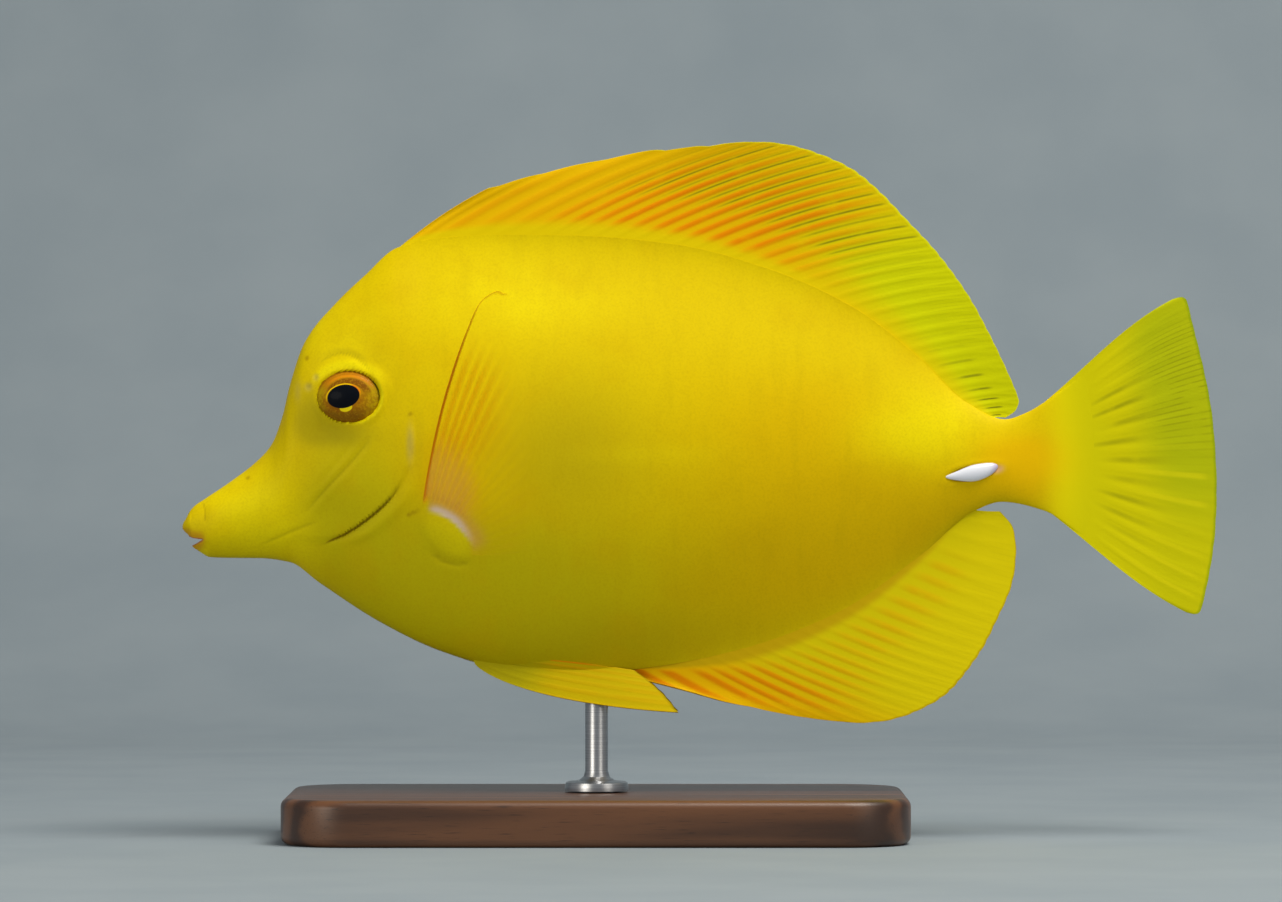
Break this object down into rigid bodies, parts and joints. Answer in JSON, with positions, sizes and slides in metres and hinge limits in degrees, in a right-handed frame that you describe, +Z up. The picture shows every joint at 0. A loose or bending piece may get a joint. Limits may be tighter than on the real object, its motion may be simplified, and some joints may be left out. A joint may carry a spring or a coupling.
{
  "type": "yellow tang model on a stand",
  "caption": "Life-size yellow tang: a deep, flat body with a short snout, tall ribbed fins spread and a white spine on either side of the tail root, held level on a rod and base.",
  "frame": {"origin": "on the floor under the middle of the fish's length, on its plane of symmetry", "axes": "+Z up, -X towards the fish's snout, -Y towards its left flank"},
  "size_m": [0.18, 0.062, 0.1212],
  "materials": {
    "skin": "satin fish skin with fine scales",
    "fins": "satin fin membrane with raised rays",
    "pectorals": "thin, partly clear membrane with raised rays",
    "eyes": "wet and glossy",
    "tail_spines": "smooth, like bone",
    "stand_wood": "satin dark wood",
    "stand_steel": "brushed"
  },
  "bodies": {
    "root": {"head": "skin", "trunk": "skin", "tail_root": "skin", "dorsal_fin": "fins", "anal_fin": "fins", "tail_fin": "fins", "pectoral_fin_left": "pectorals", "pectoral_fin_right": "pectorals", "pelvic_fin_left": "fins", "pelvic_fin_right": "fins", "eye_left": "eyes", "eye_right": "eyes", "tail_spine_left": "tail_spines", "tail_spine_right": "tail_spines", "stand_base": "stand_wood", "stand_rod": "stand_steel"}
  },
  "joints": []
}
